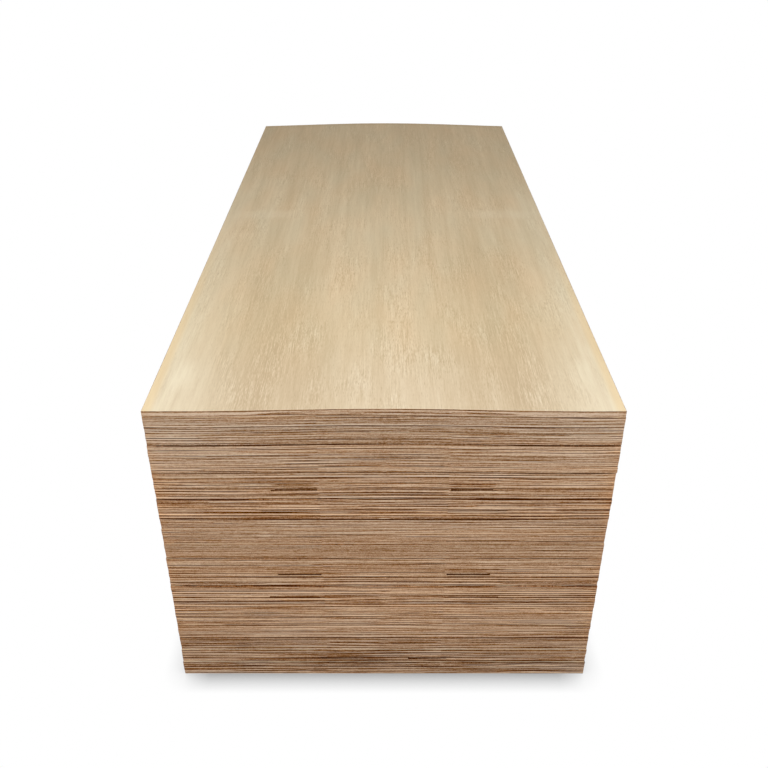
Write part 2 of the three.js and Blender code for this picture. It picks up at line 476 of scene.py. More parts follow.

# %% [markdown]
# ## Marks and slots
# Some lines of the near end stand out from the rest: a pale or dark ply over the whole width, or over a
# stretch to the left and right of the middle. They are listed by their depth below the top, counted in
# sheets, with their inner and outer distance from the middle in millimetres and their tone. A mark rarely
# falls on one ply alone, so it reaches into the ones beside it, and the plies a little further off are set
# off against it. Some dark ones lie just above a bold seam and widen it: they are painted shade. Where two
# strips of a core don't meet, the saw lays open a slot. Each slot is really cut back into the edge, so it is
# dark because light can't get in, and its ply is painted almost black as well, which is painted shade.

# %% Marks and core gaps
EDGE_MARKS = (
    (0.05, 0, 612, -1.8),
    (0.20, 300, 606, 1.6),
    (0.32, 300, 606, 2.4),
    (0.45, 300, 606, 3.0),
    (0.60, 330, 606, 2.6),
    (0.72, 400, 606, 1.2),
    (0.55, 200, 320, -1.6),
    (1.95, 460, 600, 2.4),
    (3.65, 330, 600, 3.0),
    (4.10, 190, 460, -1.3),
    (5.30, 460, 600, 2.4),
    (5.70, 0, 612, 0.1),
    (5.85, 0, 612, 0.1),
    (5.97, 0, 612, -0.1),
    (6.15, 0, 612, 1.1),
    (6.30, 330, 612, 0.8),
    (7.90, 190, 460, -1.2),
    (9.90, 0, 170, -2.0),
    # painted shade just above a bold seam, widening its dark line
    (10.80, 0, 612, -1.4),
    (11.15, 0, 612, 0.5),
    (11.75, 0, 600, 3.3),
    (13.12, 175, 302, -2.2),
    (13.30, 175, 302, -0.8),
    (13.52, 175, 302, -1.8),
    (13.85, 175, 600, -1.4),
    (14.30, 178, 302, -1.8),
    (14.85, 0, 170, -2.8),
    (15.25, 175, 310, -1.6),
    (16.30, 185, 460, 1.4),
    (16.55, 460, 612, -1.8),
    (17.30, 460, 600, 1.4),
    (17.70, 0, 600, 1.9),
    (18.30, 330, 460, 2.4),
    (18.75, 0, 600, -2.6),
    # painted shade just above a bold seam, widening its dark line
    (19.72, 0, 600, -2.2),
    (20.30, 460, 600, 2.2),
    (22.70, 185, 330, 2.0),
    # painted shade just above a bold seam, widening its dark line
    (27.72, 180, 600, -1.2),
    (28.70, 0, 600, 1.5),
    (30.40, 178, 330, -1.5),
    (30.80, 178, 302, -1.4),
    (32.15, 0, 600, -2.3),
    (33.45, 330, 600, -3.0),
    (35.15, 0, 600, 2.6),
    (36.40, 0, 330, -2.3),
    # painted shade just above a bold seam, widening its dark line
    (37.50, 0, 600, -2.6),
    (39.65, 185, 460, 2.4),
    (41.72, 0, 600, 2.7),
    (42.88, 460, 600, 2.2),
    (43.15, 330, 600, -1.4),
    (47.20, 0, 170, -2.2),
    (52.30, 180, 330, -1.4),
)
# sheet counted from the top, first ply counted from below, plies, inner and outer distance from the middle
EDGE_GAPS = (
    (15, 5, 1, 178, 300),
    (15, 7, 1, 178, 290),
    (32, 4, 2, 178, 300),
    (19, 4, 1, 180, 328),
    (37, 4, 1, 184, 330),
    (52, 6, 2, 74, 190),
)
MARK_KEEPS = 0.3  # of the ply's own tone, where it is marked
MARK_REACH = 0.7  # a mark fades out over this many plies on either side
MARK_FLANKS, FLANK_OFF = 0.35, 2.3  # the share by which plies are set off against it, and how far off
GAP_DEPTH = 14 * MM
GAP_SHADE_TONE = -60.0  # painted shade: so dark that a slot stays black right up to its ends, where tones blend
SIDE_GAP_DEPTH = 6 * MM
# painted shade in the short gaps of the long sides, too
SIDE_GAP_SHADE_TONE = -30.0
MOST_SIDE_GAPS = 3
SIDE_GAP_PLACES = (0.05, 1.15)  # metres from the middle of a long side
SIDE_GAP_LENGTHS = (3, 11)  # mm
CROSS_PLIES = (1, 3, 5, 7)


def marks_in(number, thickness):
    """The marks of one sheet as (strength and flank of every ply, inner, outer, tone)."""
    core = core_height(thickness)
    found = []
    for depth, inner, outer, tone in EDGE_MARKS:
        if SHEETS - math.ceil(depth) == number:
            height = (math.ceil(depth) - depth) * thickness
            off = np.abs(np.arange(PLIES) + 0.5 - (height - FACE_PLY) / core - 1)
            strength = (MARK_REACH + 0.5 - off).clip(0, 1)
            flank = MARK_FLANKS * (1 - np.abs(off - FLANK_OFF)).clip(0, 1)
            found.append((strength[:, None], flank[:, None], inner * MM, outer * MM, tone))
    return found


def end_gaps_in(number):
    """The end gaps of one sheet as (plies, inner, outer), in metres."""
    found = []
    for sheet, first, plies, inner, outer in EDGE_GAPS:
        if SHEETS - sheet == number:
            found.append((range(first, first + plies), inner * MM, outer * MM))
    return found


def side_gaps_in(rng):
    """Short gaps where strips of a cross ply don't meet on a long side: (side, ply, from, to, sign of y)."""
    gaps = []
    for _ in range(rng.integers(0, MOST_SIDE_GAPS + 1)):
        start = rng.uniform(*SIDE_GAP_PLACES)
        stop = start + rng.uniform(*SIDE_GAP_LENGTHS) * MM
        side = int(rng.choice((RIGHT, LEFT)))
        ply = int(rng.choice(CROSS_PLIES))
        gaps.append((side, ply, start, stop, int(rng.choice((-1, 1)))))
    return gaps


print(len(EDGE_MARKS), "marked lines on the near end,", 2 * len(EDGE_GAPS), "slots in each short end")

# %% [markdown]
# ## Relief of the plies
# A saw doesn't cut nine veneers equally deep, and the arrises of a sheet wear off on its neighbours. Two
# functions work that out for each column of the rim: how far each ply lies back, with the marks and slots
# worked in, and how wide the worn arrises are. Displacement by a texture could do it too, but it would need
# a far finer mesh.

# %% Relief of the plies
RELIEF = 0.12 * MM
LEAST_RELIEF, RELIEF_RANGE, RELIEF_WAVES, MOST_RELIEF = 0.6, 0.5, 0.35, 3.0  # as shares of that
SAW_WAVE = 0.03  # metres
ARRIS = 0.3 * MM  # worn off every arris
SEAM_ARRIS = 0.9 * MM  # and this much more for each unit of a seam's boldness
WIDEST_ARRIS = 2.5 * MM
SEAM_AT_CORNER = 1.1  # times the boldness that the lists give
SEAM_CLOSED = 0.4  # how far a groove closes right at a corner, where the sheets were knocked square
SEAM_WAVES, SEAM_LIMITS = 0.15, (0.2, 2.0)  # a seam's boldness wavers along the rim, within limits
SEAM_WAVE_LENGTH = 0.25  # metres
WEAR_WAVES, WEAR_LIMITS = 0.2, (0.5, 1.6)  # and so does the wear, in waves as short as the saw's


def ply_relief(rng, number, thickness, place, distance, side, end_gaps, side_gaps):
    """How far back each ply lies at each column, its tone and its warmth, with marks and slots worked in."""
    tone, warmth = tones(rng, number, distance, place, side)
    uneven = LEAST_RELIEF + RELIEF_RANGE * rng.random((PLIES, 1))
    uneven = uneven + RELIEF_WAVES * drift(rng, distance, SAW_WAVE, PLIES)
    inset = RELIEF * uneven.clip(0, MOST_RELIEF)
    x, y = place.T
    for strength, flank, inner, outer, marked in marks_in(number, thickness):
        where = (side == NEAR) & (np.abs(x) > inner) & (np.abs(x) < outer)
        tone[:, where] += strength * (marked - (1 - MARK_KEEPS) * tone[:, where]) - flank * marked
    for plies, inner, outer in end_gaps:
        where = np.isin(side, (NEAR, FAR)) & (np.abs(x) > inner) & (np.abs(x) < outer)
        for ply in plies:
            inset[ply, where] = GAP_DEPTH
            # the slot's ply is painted almost black: painted shade
            tone[ply, where] = GAP_SHADE_TONE
    for gap_side, ply, start, stop, sign in side_gaps:
        where = (side == gap_side) & (sign * y > start) & (sign * y < stop)
        inset[ply, where] = SIDE_GAP_DEPTH
        # painted shade in a side gap
        tone[ply, where] = SIDE_GAP_SHADE_TONE
    return inset, tone, warmth


def worn_arrises(rng, number, place, distance, side):
    """Boldness of the seams below and above a sheet, and the width of its two arrises, at each column."""
    gap, inwards = from_corner(place, side)
    both = [number, number + 1]
    bold = seams[both, None] * (SEAM_AT_CORNER + seams_inwards[both, None] * inwards)
    bold = bold * (1 - SEAM_CLOSED * np.exp(-gap / CORNER_REACH))
    bold = bold * (1 + SEAM_WAVES * drift(rng, distance, SEAM_WAVE_LENGTH, 2)).clip(*SEAM_LIMITS)
    wear = (1 + WEAR_WAVES * drift(rng, distance, SAW_WAVE, 2)).clip(*WEAR_LIMITS)
    return bold, (wear * (ARRIS + SEAM_ARRIS * bold)).clip(0, WIDEST_ARRIS)


print("plies lie back by up to", round(MOST_RELIEF * RELIEF / MM, 2), "mm, slots by", GAP_DEPTH / MM, "mm")

# %% [markdown]
# ## The edge of a sheet
# One grid makes the edge: columns round the rim, and rows up over the worn lower arris, ply by ply, and
# over the upper arris. Nine thin boards would be simpler, but a sheet is one glued piece, so its skin is
# one closed surface. Each ply has two rows of its own, so it can stand a tenth of a millimetre proud of its
# neighbours, and its tone stays flat over its height. At a corner of the sheet the rim is drawn in along
# both directions at once, and the three columns there share their relief, so that nothing crosses over
# however deep a groove is.

# %% Edge of a sheet
OLD_BATCHES, OLD_WAVES = 3, 1.6  # the lowest batches, and how much wavier their plies are
GROOVE_STEEPNESS = 2.6  # a groove's depth over half its height
ARRIS_TURN = 0.08  # an arris turns into the flat edge at this share of its depth
PLY_STEP = 0.05 * MM
ROWS_APART = 0.03 * MM  # at least, so that no row crosses the next
PLY_V = (0.02, 0.98)  # a ply's two rows on the ply map, just inside it, where its own pattern begins and ends
ARRIS_V = (0.15, 0.4)  # where an arris turns and where it ends, counted from the face
SEAM_DUST_AND_SHADE = (1.2, 1.8)  # painted shade and dust make the groove darker: everywhere, and for each unit of boldness
SEAM_WARMTH = 2.5  # the painted shade and dust in a groove are browner than the wood
SEAM_SHADE = 0.5  # painted shade: how much darker the face ply is beside it, for each unit of boldness


def drawn_in(place, width, length, inset):
    """The rim moved inwards: each coordinate is clipped to the half size minus the inset."""
    half = np.array([width, length]) / 2
    limit = half - inset[..., None]
    return np.clip(place, -limit, limit)


def edge_grid(rng, number, here, place, distance, side, end_gaps, side_gaps):
    """Rows of the edge from the lower to the upper arris: inset, height, ply_v, tone, warmth and grain."""
    top = here["thickness"]
    bounds = ply_bounds(rng, distance, top, 1 + OLD_WAVES * (batch_of[number] < OLD_BATCHES))
    inset, tone, warmth = ply_relief(rng, number, top, place, distance, side, end_gaps, side_gaps)
    bold, worn = worn_arrises(rng, number, place, distance, side)
    corner = np.flatnonzero(np.diff(side, append=NEAR))
    for relief in (inset, worn):
        for beside in (corner - 1, (corner + 1) % len(side)):
            relief[:, beside] = relief[:, corner]
    # painted shade on the face plies beside each seam
    tone[[0, -1]] -= SEAM_SHADE * bold
    low, high = worn

    starts = np.vstack([low, bounds[1:-1] + PLY_STEP])
    stops = np.vstack([bounds[1:-1] - PLY_STEP, top - high])
    ply_rows = np.stack([starts, stops], 1).reshape(2 * PLIES, -1)
    turn = 1 - ARRIS_TURN
    height = np.vstack([0 * low, turn * low, ply_rows, top - turn * high, top + 0 * high])
    apart = ROWS_APART * np.arange(len(height))[:, None]
    height[2:-2] = height[2:-2].clip(low + apart[:-4], top - high - apart[:-4][::-1])

    ply_of = np.repeat(np.arange(PLIES), [4] + [2] * (PLIES - 2) + [4])
    deep = GROOVE_STEEPNESS * np.array([1.0, ARRIS_TURN])
    back = np.zeros_like(height)
    back[[0, 1]] = np.outer(deep, low)
    back[[-1, -2]] = np.outer(deep, high)
    # painted shade and dust in the rows of each groove
    dust_and_shade = np.zeros_like(height)
    dust_and_shade[:2], dust_and_shade[-2:] = SEAM_DUST_AND_SHADE[0] + SEAM_DUST_AND_SHADE[1] * bold[:, None]
    ply_v = (np.arange(PLIES)[:, None] + PLY_V).ravel()
    ply_v[0], ply_v[-1] = ARRIS_V[1], PLIES - ARRIS_V[1]
    return {
        "inset": back + inset[ply_of],
        "height": height,
        "ply_v": np.concatenate([[0.0, ARRIS_V[0]], ply_v, [PLIES - ARRIS_V[0], PLIES]]),
        "tone": tone[ply_of] - dust_and_shade,
        "warmth": warmth[ply_of] + SEAM_WARMTH * (dust_and_shade > 0),
        "grain": end_grain_of(side)[ply_of],
    }


print("an edge has", 2 * PLIES + 4, "rows")

# %% [markdown]
# ## The faces of a sheet
# The faces close the shell. One large polygon would be enough for a flat face, but not for a bowed one. The
# top face that everyone sees is a woven grid: a Coons patch, which blends the four edges of a surface into
# its inside. The faces that lie on each other need few points. They close like a hip roof: every rim point
# is joined to the nearest point of the middle line.

# %% Faces of a sheet
FACE_BANDS = 1  # from the edge of a face to its middle line
BOWED_FACE_BANDS = 5  # a bent face needs more


def woven_face(ring, count_x, count_y):
    """A grid (y, x) from its boundary ring: opposite edges blended both ways, minus the blended corners."""
    turned = np.roll(ring, 1, axis=0)  # starts at the near left corner
    near = turned[: count_x + 2]
    right = turned[count_x + 1 : count_x + count_y + 3]
    far = turned[count_x + count_y + 2 : 2 * count_x + count_y + 4][::-1]
    left = np.vstack([turned[2 * count_x + count_y + 3 :], turned[:1]])[::-1]
    u = ((near - near[0])[:, 0] / (near[-1] - near[0])[0])[None, :, None]
    v = ((left - left[0])[:, 1] / (left[-1] - left[0])[1])[:, None, None]
    edges = (1 - v) * near[None] + v * far[None] + (1 - u) * left[:, None] + u * right[:, None]
    corners = (1 - u) * ((1 - v) * near[0] + v * far[0]) + u * ((1 - v) * near[-1] + v * far[-1])
    return edges - corners


def hip_rows(ring, width, length, bands):
    """Rows from a ring to the middle line: ring + (spine - ring) * s, without the ring itself."""
    spine_half = (length - width) / 2
    spine = np.stack([0 * ring[:, 0], ring[:, 1].clip(-spine_half, spine_half)], 1)
    s = np.linspace(0, 1, bands + 1)[1:, None, None]
    return ring + (spine - ring) * s


def grid_faces(rows, columns, first, closed):
    """Quads of a row-major grid, counter-clockwise seen from outside, and the row and column of each."""
    row, column = np.meshgrid(np.arange(rows - 1), np.arange(columns - (not closed)), indexing="ij")
    row, column = row.ravel(), column.ravel()
    after = (column + 1) % columns
    quads = np.stack([row * columns + column, row * columns + after, (row + 1) * columns + after], 1)
    quads = np.hstack([quads, ((row + 1) * columns + column)[:, None]])
    return quads + first, row, column


print("a grid of 3 rows and 4 columns has", len(grid_faces(3, 4, 0, False)[0]), "quads")

# %% [markdown]
# ## Maps for the finish
# Two maps go with the skin. "ply" measures the edge: u is the distance round the rim in metres, v counts
# plies, and the edge material draws along it. "OFBake" is the flat layout into which the finish can be
# painted for other programs. Blender can lay out such a map by itself, but it would shrink a band over
# seven metres long to a thread, so here the edge is folded into a stack of rows and keeps its detail.

# %% Layout of the flat map
ATLAS_ROWS = 16
ATLAS_ROWS_TOP = 8
EDGE_FLOOR = 0.13  # the part of the map below this height holds the hidden faces
EDGE_BOX_TOP_SHEET = (0.04, 0.17)  # bottom and top of the edge's part
FACE_BOXES = ((0.01, 0.005, 0.485, 0.12), (0.515, 0.005, 0.99, 0.12))  # underside, top
FACE_BOXES_TOP_SHEET = ((0.01, 0.002, 0.99, 0.035), (0.002, 0.18, 0.998, 0.998))
ROW_FILL = 0.86  # of a row's height, the rest keeps it clear of the next
ROW_LEFT, ROW_WIDTH = 0.002, 0.996
LONGEST_QUAD = 46 * MM  # room for the quad that crosses the end of a row
LEAST_ROW = 0.3 * MM  # no row of the edge is lower than this on the flat map
PATTERN_STEP = (9.1, 20.0)  # moves each sheet on along the ply map, so that no two have the same pattern


def edge_layout(round_rim, row_v, start, total, is_top):
    """Corners of the edge quads on the flat map: its rows follow each other round the rim."""
    count = ATLAS_ROWS_TOP if is_top else ATLAS_ROWS
    low, high = EDGE_BOX_TOP_SHEET if is_top else (EDGE_FLOOR, 1.0)
    run = total / count
    fold = np.minimum((start / run).astype(int), count - 1)[:, None]
    tall = (high - low) / count
    u = ROW_LEFT + ROW_WIDTH * ((round_rim - fold * run) / (run + LONGEST_QUAD))
    return np.stack([u, low + fold * tall + row_v * ROW_FILL * tall], -1)


def face_layout(xy, here, box):
    """Places of points (x, y) in a rectangle (left, bottom, right, top) of the flat map."""
    unit = xy / np.array([here["width"], here["length"]]) + 0.5
    low, high = np.array(box[:2]), np.array(box[2:])
    return low + unit * (high - low)


def edge_maps(number, edge, distance, row, column):
    """The flat map and the ply map at the four corners of each quad of the edge, counter-clockwise."""
    up = np.stack([row, row, row + 1, row + 1], 1)
    round_rim = distance[np.stack([column, column + 1, column + 1, column], 1)]
    step = np.diff(edge["height"].mean(1)).clip(LEAST_ROW)
    row_v = np.concatenate([[0], np.cumsum(step)]) / step.sum()
    bake = edge_layout(round_rim, row_v[up], distance[column], distance[-1], number == SHEETS - 1)
    return bake, np.stack([round_rim, edge["ply_v"][up]], -1) + number * np.array(PATTERN_STEP)


print("the edge is folded into", ATLAS_ROWS, "rows, and that of the top sheet into", ATLAS_ROWS_TOP)

# %% [markdown]
# ## The skin of a sheet
# Now a sheet can be put together from its edge and its two faces. All points are worked out flat and square
# first, in the sheet's own measure, and then laid in the stack: turned, raised to their level, and bent
# with the bow. The edge and the faces could be objects of their own, joined later, but then their seams
# would have to be found and closed. In one grid the rows run on from the underside over the edge to the
# top, and share their points. Only on the middle line, and round the woven face of the top sheet, do points
# meet that have to be welded.

# %% Skin of a sheet
FIRST_SEED = 1000


def sheet_skin(number):
    """All arrays of one sheet: vertices, quads, which ones are face, both maps and the edge's attributes."""
    rng = np.random.default_rng(FIRST_SEED + number)
    here = place_of(number)
    is_top = number == SHEETS - 1
    end_gaps = end_gaps_in(number)
    side_gaps = side_gaps_in(rng)
    sharp_ends = {JOINT_FROM_MIDDLE} | {at for _, inner, outer in end_gaps for at in (inner, outer)}
    sharp_sides = {at for _, _, start, stop, _ in side_gaps for at in (start, stop)}
    columns_round = rim(here["width"], here["length"], sorted(sharp_ends), sorted(sharp_sides))
    place, distance, side, (count_x, count_y) = columns_round
    edge = edge_grid(rng, number, here, place, distance[:-1], side, end_gaps, side_gaps)
    edge_xy = drawn_in(place, here["width"], here["length"], edge["inset"])
    rows, columns = edge_xy.shape[:2]

    bands = BOWED_FACE_BANDS if here["share"] > 0 else FACE_BANDS
    under = hip_rows(edge_xy[0], here["width"], here["length"], bands)[::-1]
    if is_top:
        over = woven_face(edge_xy[-1], count_x, count_y)
    else:
        over = hip_rows(edge_xy[-1], here["width"], here["length"], bands)
    flat = [under.reshape(-1, 2), edge_xy.reshape(-1, 2), over.reshape(-1, 2)]
    level = [np.zeros(len(flat[0])), edge["height"].ravel(), np.full(len(flat[2]), here["thickness"])]
    flat, level = np.vstack(flat), np.concatenate(level)

    quads, row, column = grid_faces(len(under) + rows + (0 if is_top else len(over)), columns, 0, True)
    row = row - len(under)  # 0 is the lower arris
    below, above = row < 0, row >= rows - 1
    is_face = below | above
    bake, ply = edge_maps(number, edge, distance, row.clip(0, rows - 2), column)
    under_box, over_box = FACE_BOXES_TOP_SHEET if is_top else FACE_BOXES
    bake[below] = face_layout(flat[quads[below]], here, under_box)
    bake[above] = face_layout(flat[quads[above]], here, over_box)
    if is_top:
        lid, _, _ = grid_faces(count_y + 2, count_x + 2, (len(under) + rows) * columns, False)
        bake = np.concatenate([bake, face_layout(flat[lid], here, over_box)])
        ply = np.concatenate([ply, np.zeros((len(lid), 4, 2))])
        quads = np.concatenate([quads, lid])
        is_face = np.concatenate([is_face, np.ones(len(lid), bool)])

    xy = here["middle"] + flat[:, :1] * here["across"] + flat[:, 1:] * here["along"]
    z = here["underside"] + level + here["share"] * bow(xy[:, 0], xy[:, 1])
    skin = {"vertices": np.column_stack([xy, z]), "quads": quads, "is_face": is_face}
    skin["ply"], skin["OFBake"] = ply.reshape(-1, 2), bake.reshape(-1, 2)
    for name in ("tone", "warmth", "grain"):
        skin[name] = np.zeros(len(xy))
        skin[name][under[..., 0].size :][: edge[name].size] = edge[name].ravel()
    return skin


skin = sheet_skin(SHEETS - 1)
print("top sheet:", len(skin["vertices"]), "vertices,", len(skin["quads"]), "quads")

# %% [markdown]
# ## What both finishes share
# The edge and the face are the same wood, cut two ways. Both take their figure from noise that is stretched
# along the grain, add up several such figures into one tone, look that tone up on a ramp of wood colours,
# and multiply it by a tint. A picture of wood would be quicker, but it repeats, and its plies wouldn't end
# where ours do.


# %% Figure, sum and colour
def figure(tree, place, scale, detail):
    """Soft random waves at place * scale, less their middle value: as often above 0 as below it."""
    scaled = add(tree, "ShaderNodeMapping", {"Vector": place, "Scale": scale})
    noise = add(tree, "ShaderNodeTexNoise", {"Vector": scaled.outputs[0], "Scale": 1.0, "Detail": detail})
    return add(tree, "ShaderNodeMath", {0: noise.outputs[0], 1: 0.5}, operation="SUBTRACT").outputs[0]


def summed(tree, total, parts):
    """total + value * strength for each part, where either may be a number or a socket."""
    for value, strength in parts:
        step = add(tree, "ShaderNodeMath", {0: value, 1: strength, 2: total}, operation="MULTIPLY_ADD")
        total = step.outputs[0]
    return total


def wood_colour(tree, tone, tones, tint):
    """The colour of a tone on a ramp with stops (tone, colour) from -3 to 3, multiplied by a tint."""
    position = add(tree, "ShaderNodeMapRange", {"Value": tone, "From Min": -3.0, "From Max": 3.0})
    ramp = add(tree, "ShaderNodeValToRGB", {0: position.outputs[0]})
    stops = ramp.color_ramp.elements
    while len(stops) < len(tones):
        stops.new(0.5)
    for stop, (at, code) in zip(stops, tones):
        stop.position = (at + 3) / 6
        stop.color = linear(code)
    colours = {0: 1.0, 6: ramp.outputs[0], 7: tint}
    return add(tree, "ShaderNodeMix", colours, data_type="RGBA", blend_type="MULTIPLY").outputs[2]


print("finishes are made with", figure.__name__, summed.__name__, "and", wood_colour.__name__)

# %% [markdown]
# ## Sawn plywood edge
# Plywood edges are bare wood cut by a circular saw: plies seen along their grain are pale and streaked,
# plies seen end on are darker and speckled with pores, and between them run thin, dark glue lines. The
# material reads the ply map, where u is the distance along the edge in metres and v counts plies, so its
# figure never runs from one ply into the next. Its tint goes from cool to orange by its warmth. Torn fibres
# scatter light all ways, so the edge looks dull, with none of the mirror share that a smooth surface has.

# %% Edge material
SPECK = 2.2 * MM  # real pores are a tenth of this: drawn as coarse as it takes to show
FIBRE_LENGTH = 36 * MM
FLAW_LENGTH = 9 * MM
PLY_JUMP = 3.7  # how far the noise moves on from one ply to the next
# For each figure: its length along the edge, its height in plies, and its detail.
FIGURES = {"fibre": (FIBRE_LENGTH, 1.5, 3.0), "flaw": (FLAW_LENGTH, 2.0, 2.0), "speck": (SPECK, 0.8, 2.0)}
FIBRE_TONE, FLAW_TONE = 4.2, 3.6
SPECK_TONES = (5.0, 7.5)  # along the grain and across it
GLUE_LINE = (0.40, 0.5)  # of a ply, from its middle: where the glue line begins and where it is darkest
GLUE_TONE = -1.2
EDGE_TONES = (
    (-3.0, "#44200a"),
    (-2.0, "#6e411e"),
    (-1.0, "#8c633c"),
    (0.0, "#a27d60"),
    (1.0, "#b69577"),
    (2.0, "#c6a68a"),
    (3.0, "#d5b79b"),
)
COOLEST = (0.90, 1.0, 1.10, 1.0)  # tint at warmth -3, as linear factors
WARMEST = (1.105, 1.0, 0.865, 1.0)  # at warmth 3
SAWN_ROUGHNESS = 0.8
SAWN_SHEEN = 0.0
FIBRE_BUMP = {"Strength": 0.3, "Distance": 0.1 * MM}

edge_material, tree = new_material("sawn plywood edge")
ply_map = add(tree, "ShaderNodeUVMap", uv_map="ply")
apart = add(tree, "ShaderNodeSeparateXYZ", {0: ply_map.outputs[0]})
tone, warmth, grain = (
    add(tree, "ShaderNodeAttribute", attribute_name=name, attribute_type="GEOMETRY").outputs["Fac"]
    for name in ("tone", "warmth", "grain")
)
within = add(tree, "ShaderNodeMath", {0: apart.outputs["Y"]}, operation="FRACT").outputs[0]
own_ply = add(tree, "ShaderNodeMath", {0: apart.outputs["Y"]}, operation="FLOOR").outputs[0]
place = add(tree, "ShaderNodeCombineXYZ", {"X": apart.outputs["X"], "Y": within, "Z": own_ply}).outputs[0]
waves = {}
for name, (length, plies, detail) in FIGURES.items():
    waves[name] = figure(tree, place, (1 / length, 1 / plies, PLY_JUMP), detail)

off_middle = add(tree, "ShaderNodeMath", {0: within, 1: 0.5}, operation="SUBTRACT").outputs[0]
to_glue = add(tree, "ShaderNodeMath", {0: off_middle}, operation="ABSOLUTE").outputs[0]
glue = add(tree, "ShaderNodeMapRange", {"Value": to_glue, "From Min": GLUE_LINE[0], "From Max": GLUE_LINE[1]})
ends = {"Value": grain, "To Min": SPECK_TONES[0], "To Max": SPECK_TONES[1]}
speck_tone = add(tree, "ShaderNodeMapRange", ends)
strengths = {"speck": speck_tone.outputs[0], "fibre": FIBRE_TONE, "flaw": FLAW_TONE}
fine = summed(tree, 0.0, [(waves[name], strength) for name, strength in strengths.items()])
total = summed(tree, tone, [(fine, 1.0), (glue.outputs[0], GLUE_TONE)])
lean = add(tree, "ShaderNodeMapRange", {"Value": warmth, "From Min": -3.0, "From Max": 3.0})
tint = add(tree, "ShaderNodeMix", {0: lean.outputs[0], 6: COOLEST, 7: WARMEST}, data_type="RGBA").outputs[2]
bump = add(tree, "ShaderNodeBump", {"Height": fine, **FIBRE_BUMP})
finish = {"Roughness": SAWN_ROUGHNESS, "Specular IOR Level": SAWN_SHEEN, "Normal": bump.outputs[0]}
finish["Base Color"] = wood_colour(tree, total, EDGE_TONES, tint)
wood = add(tree, "ShaderNodeBsdfPrincipled", finish)
add(tree, "ShaderNodeOutputMaterial", {"Surface": wood.outputs[0]})
print("edge material:", len(tree.nodes), "nodes")

# %% [markdown]
# ## Sanded face veneer
# The face is one rotary-cut veneer, sanded smooth: pale, with a soft sheen and straight grain along the
# sheet. Its figure is a sum of noises, each stretched along the grain, from broad soft patches to short
# flecks. The fine ones and the lathe checks, short dark cracks that the knife leaves, are strong in some
# patches and faint in others, and stronger towards the near end. Patches also differ in hue, some pinkish
# and some greyish. Light and handling change a top sheet unevenly. The face is also darker towards the far
# end and along the far edge, which is painted shade. Painting that by hand would take an image. Here each
# such region is a product of smooth steps, off the middle line and along the sheet, listed with what it adds
# to the tone or to the paleness.

# %% Tone of the face veneer
FACE_FIGURES = (  # width across the grain, length along it, detail, tone
    (120 * MM, 420 * MM, 1.0, 1.4),
    (60 * MM, 700 * MM, 1.0, 2.5),
    (30 * MM, 800 * MM, 2.0, 2.7),
    (11 * MM, 260 * MM, 1.0, 2.2),
)
FINE_FIGURES = ((4.6 * MM, 110 * MM, 1.0, 5.6), (2.4 * MM, 60 * MM, 1.0, 8.5), (2.3 * MM, 16 * MM, 1.0, 6.5))
CHECKS = (2.4 * MM, 26 * MM, 1.0)  # real lathe checks are finer: drawn as coarse as it takes to show
RAREST_CHECK = 0.12  # only waves that fall deeper than this become checks
CHECK_TONE = 50.0
FUZZY_PATCH = (90 * MM, 260 * MM, 1.0)
FUZZY_STEP = (-0.12, 0.2)  # of that patch's waves
FUZZY_LEAST, FUZZY_MORE = 0.3, 0.8  # strength of the fine figures outside such patches, and what they add
FINE_FAR, FINE_NEARER = 0.7, 0.45  # their strength in the far half, and what the near end adds
NEAR_HALF = (("along", 0, -1100),)
# A region is a few steps off the middle line or along the sheet, each from 0 at one place to 1 at another.
TONE_REGIONS = (  # the tone that each adds, and its steps in millimetres
    (-1.4, (("off", 120, 310), ("off", 520, 380), ("along", 100, -500))),  # bands halfway to the long edges
    (-1.2, (("along", -100, 1220),)),  # darker towards the far end: painted shade, added to the softbox's own falloff
    (0.65, (("along", 350, -200), ("along", -1050, -600))),  # paler halfway along
    (-1.6, (("along", 1175, 1210),)),  # painted shade along the far edge
)

face_material, tree = new_material("sanded face veneer")
here = add(tree, "ShaderNodeTexCoord").outputs["Object"]
apart = add(tree, "ShaderNodeSeparateXYZ", {0: here})
off_middle = add(tree, "ShaderNodeMath", {0: apart.outputs["X"]}, operation="ABSOLUTE").outputs[0]
measures = {"off": off_middle, "along": apart.outputs["Y"]}


def face_figure(width, length, detail):
    """A figure stretched along the sheet."""
    return figure(tree, here, (1 / width, 1 / length, 1.0), detail)


def region(steps):
    """1 inside a region of the face and 0 outside: the product of smooth steps."""
    inside = 1.0
    for measure, start, stop in steps:
        ends = {"Value": measures[measure], "From Min": start * MM, "From Max": stop * MM}
        step = add(tree, "ShaderNodeMapRange", ends, interpolation_type="SMOOTHSTEP")
        inside = add(tree, "ShaderNodeMath", {0: inside, 1: step.outputs[0]}, operation="MULTIPLY").outputs[0]
    return inside


ends = {"Value": face_figure(*FUZZY_PATCH), "From Min": FUZZY_STEP[0], "From Max": FUZZY_STEP[1]}
patches = add(tree, "ShaderNodeMapRange", ends, interpolation_type="SMOOTHSTEP").outputs[0]
fuzzy = summed(tree, FUZZY_LEAST, [(patches, FUZZY_MORE)])
nearer = summed(tree, FINE_FAR, [(region(NEAR_HALF), FINE_NEARER)])
fuzzy = add(tree, "ShaderNodeMath", {0: fuzzy, 1: nearer}, operation="MULTIPLY").outputs[0]
check = add(tree, "ShaderNodeMath", {0: face_figure(*CHECKS), 1: RAREST_CHECK}, operation="ADD").outputs[0]
check = add(tree, "ShaderNodeMath", {0: check, 1: 0.0}, operation="MINIMUM").outputs[0]
fine = summed(tree, 0.0, [(face_figure(*size), strength) for *size, strength in FINE_FIGURES])
fine = summed(tree, fine, [(check, CHECK_TONE)])
face_tone = summed(tree, 0.0, [(face_figure(*size), strength) for *size, strength in FACE_FIGURES])
